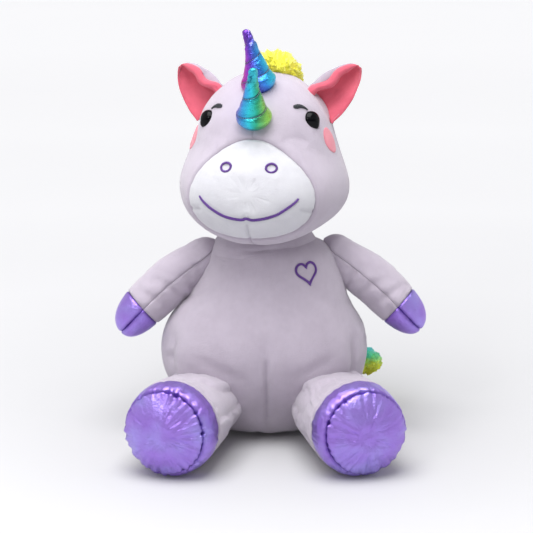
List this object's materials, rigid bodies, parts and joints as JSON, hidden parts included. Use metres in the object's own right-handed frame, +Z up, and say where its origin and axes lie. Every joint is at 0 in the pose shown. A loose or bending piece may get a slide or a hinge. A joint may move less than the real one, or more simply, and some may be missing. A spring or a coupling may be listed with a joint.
{
  "type": "plush unicorn",
  "caption": "Seated stuffed unicorn toy with a rounded muzzle, spiral-stitched horns, folded ears, floppy arms with shiny hooves, stubby legs and a fur mane and tail.",
  "frame": {"origin": "on the flat face that the toy sits on, under the middle of the torso", "axes": "+Z up through the head, -Y the way the chest faces, +X the toy's own left"},
  "size_m": [0.3158, 0.2894, 0.3997],
  "materials": {
    "velour": "short-pile lavender grey velour",
    "muzzle_velour": "short-pile white velour",
    "pink_plush": "soft pink plush",
    "hoof_foil": "purple foil-coated knit, shiny and puckered",
    "horn_foil": "rainbow foil-coated knit, magenta, blue, cyan and green",
    "purple_thread": "satin embroidery",
    "silver_thread": "metallic cord",
    "black_thread": "satin embroidery",
    "black_eye": "glossy black",
    "washer_plastic": "natural white plastic",
    "fibre_fill": "polyester fibre filling",
    "rainbow_fur": "long-pile fur in yellow, green and cyan"
  },
  "bodies": {
    "torso": {"torso_front_panel": "velour", "torso_back_left_panel": "velour", "torso_back_right_panel": "velour", "seat_panel": "velour", "torso_stuffing": "fibre_fill", "chest_heart_stitching": "purple_thread"},
    "neck": {"neck_cover": "velour", "neck_stuffing": "fibre_fill"},
    "head": {"head_left_panel": "velour", "head_right_panel": "velour", "muzzle_panel": "muzzle_velour", "head_stuffing": "fibre_fill", "mane": "rainbow_fur", "smile_stitching": "purple_thread", "left_eye": "black_eye", "right_eye": "black_eye", "left_eye_washer": "washer_plastic", "right_eye_washer": "washer_plastic", "left_eyebrow": "black_thread", "right_eyebrow": "black_thread", "left_cheek_patch": "pink_plush", "right_cheek_patch": "pink_plush", "left_nostril_stitching": "purple_thread", "right_nostril_stitching": "purple_thread"},
    "left_ear": {"left_ear_back": "velour", "left_ear_lining": "pink_plush"},
    "right_ear": {"right_ear_back": "velour", "right_ear_lining": "pink_plush"},
    "front_horn": {"front_horn_cover": "horn_foil", "front_horn_stuffing": "fibre_fill", "front_horn_thread": "silver_thread"},
    "rear_horn": {"rear_horn_cover": "horn_foil", "rear_horn_stuffing": "fibre_fill", "rear_horn_thread": "silver_thread"},
    "left_arm": {"left_arm_outer_panel": "velour", "left_arm_inner_panel": "velour", "left_hoof_outer_panel": "hoof_foil", "left_hoof_inner_panel": "hoof_foil", "left_arm_stuffing": "fibre_fill"},
    "right_arm": {"right_arm_outer_panel": "velour", "right_arm_inner_panel": "velour", "right_hoof_outer_panel": "hoof_foil", "right_hoof_inner_panel": "hoof_foil", "right_arm_stuffing": "fibre_fill"},
    "left_leg": {"left_leg_cover": "velour", "left_foot_band": "hoof_foil", "left_foot_sole": "hoof_foil", "left_leg_stuffing": "fibre_fill"},
    "right_leg": {"right_leg_cover": "velour", "right_foot_band": "hoof_foil", "right_foot_sole": "hoof_foil", "right_leg_stuffing": "fibre_fill"},
    "tail": {"tail": "rainbow_fur"}
  },
  "joints": [
    {"name": "head_turn", "type": "hinge", "parent": "torso", "child": "neck", "pos_m": [0, -0.005, 0.16], "axis": [0, 0, 1], "range_deg": [-25, 25], "stiffness_Nm_per_rad": 0.5},
    {"name": "head_nod", "type": "hinge", "parent": "neck", "child": "head", "pos_m": [0, -0.005, 0.16], "axis": [1, 0, 0], "range_deg": [-12, 12], "stiffness_Nm_per_rad": 0.9},
    {"name": "left_ear_fold", "type": "hinge", "parent": "head", "child": "left_ear", "pos_m": [0.05279, -0.02183, 0.32812], "axis": [-0.7103, 0.1291, 0.6919], "range_deg": [-18, 18], "stiffness_Nm_per_rad": 0.02},
    {"name": "right_ear_fold", "type": "hinge", "parent": "head", "child": "right_ear", "pos_m": [-0.05674, -0.00192, 0.32812], "axis": [0.7103, -0.1291, 0.6919], "range_deg": [-18, 18], "stiffness_Nm_per_rad": 0.02},
    {"name": "front_horn_tilt", "type": "hinge", "parent": "head", "child": "front_horn", "pos_m": [-0.01273, -0.07101, 0.3247], "axis": [0.9839, -0.1788, 0], "range_deg": [-10, 10], "stiffness_Nm_per_rad": 0.06},
    {"name": "rear_horn_tilt", "type": "hinge", "parent": "head", "child": "rear_horn", "pos_m": [-0.00783, -0.04405, 0.35465], "axis": [0.9839, -0.1788, 0], "range_deg": [-10, 10], "stiffness_Nm_per_rad": 0.06},
    {"name": "left_arm_raise", "type": "hinge", "parent": "torso", "child": "left_arm", "pos_m": [0.069, 0.001, 0.1795], "axis": [0, -1, 0], "range_deg": [-4, 60], "stiffness_Nm_per_rad": 0.25},
    {"name": "right_arm_raise", "type": "hinge", "parent": "torso", "child": "right_arm", "pos_m": [-0.061, 0.001, 0.177], "axis": [0, 1, 0], "range_deg": [-4, 60], "stiffness_Nm_per_rad": 0.25},
    {"name": "left_leg_lift", "type": "hinge", "parent": "torso", "child": "left_leg", "pos_m": [0.062, -0.045, 0.0442], "axis": [-0.9774, -0.2113, 0], "range_deg": [-15, 18], "stiffness_Nm_per_rad": 0.6},
    {"name": "right_leg_lift", "type": "hinge", "parent": "torso", "child": "right_leg", "pos_m": [-0.062, -0.045, 0.0442], "axis": [-0.9711, 0.2385, 0], "range_deg": [-15, 18], "stiffness_Nm_per_rad": 0.6},
    {"name": "tail_wag", "type": "hinge", "parent": "torso", "child": "tail", "pos_m": [0.003, 0.09, 0.05], "axis": [0, 0, 1], "range_deg": [-3, 60], "stiffness_Nm_per_rad": 0.02}
  ]
}
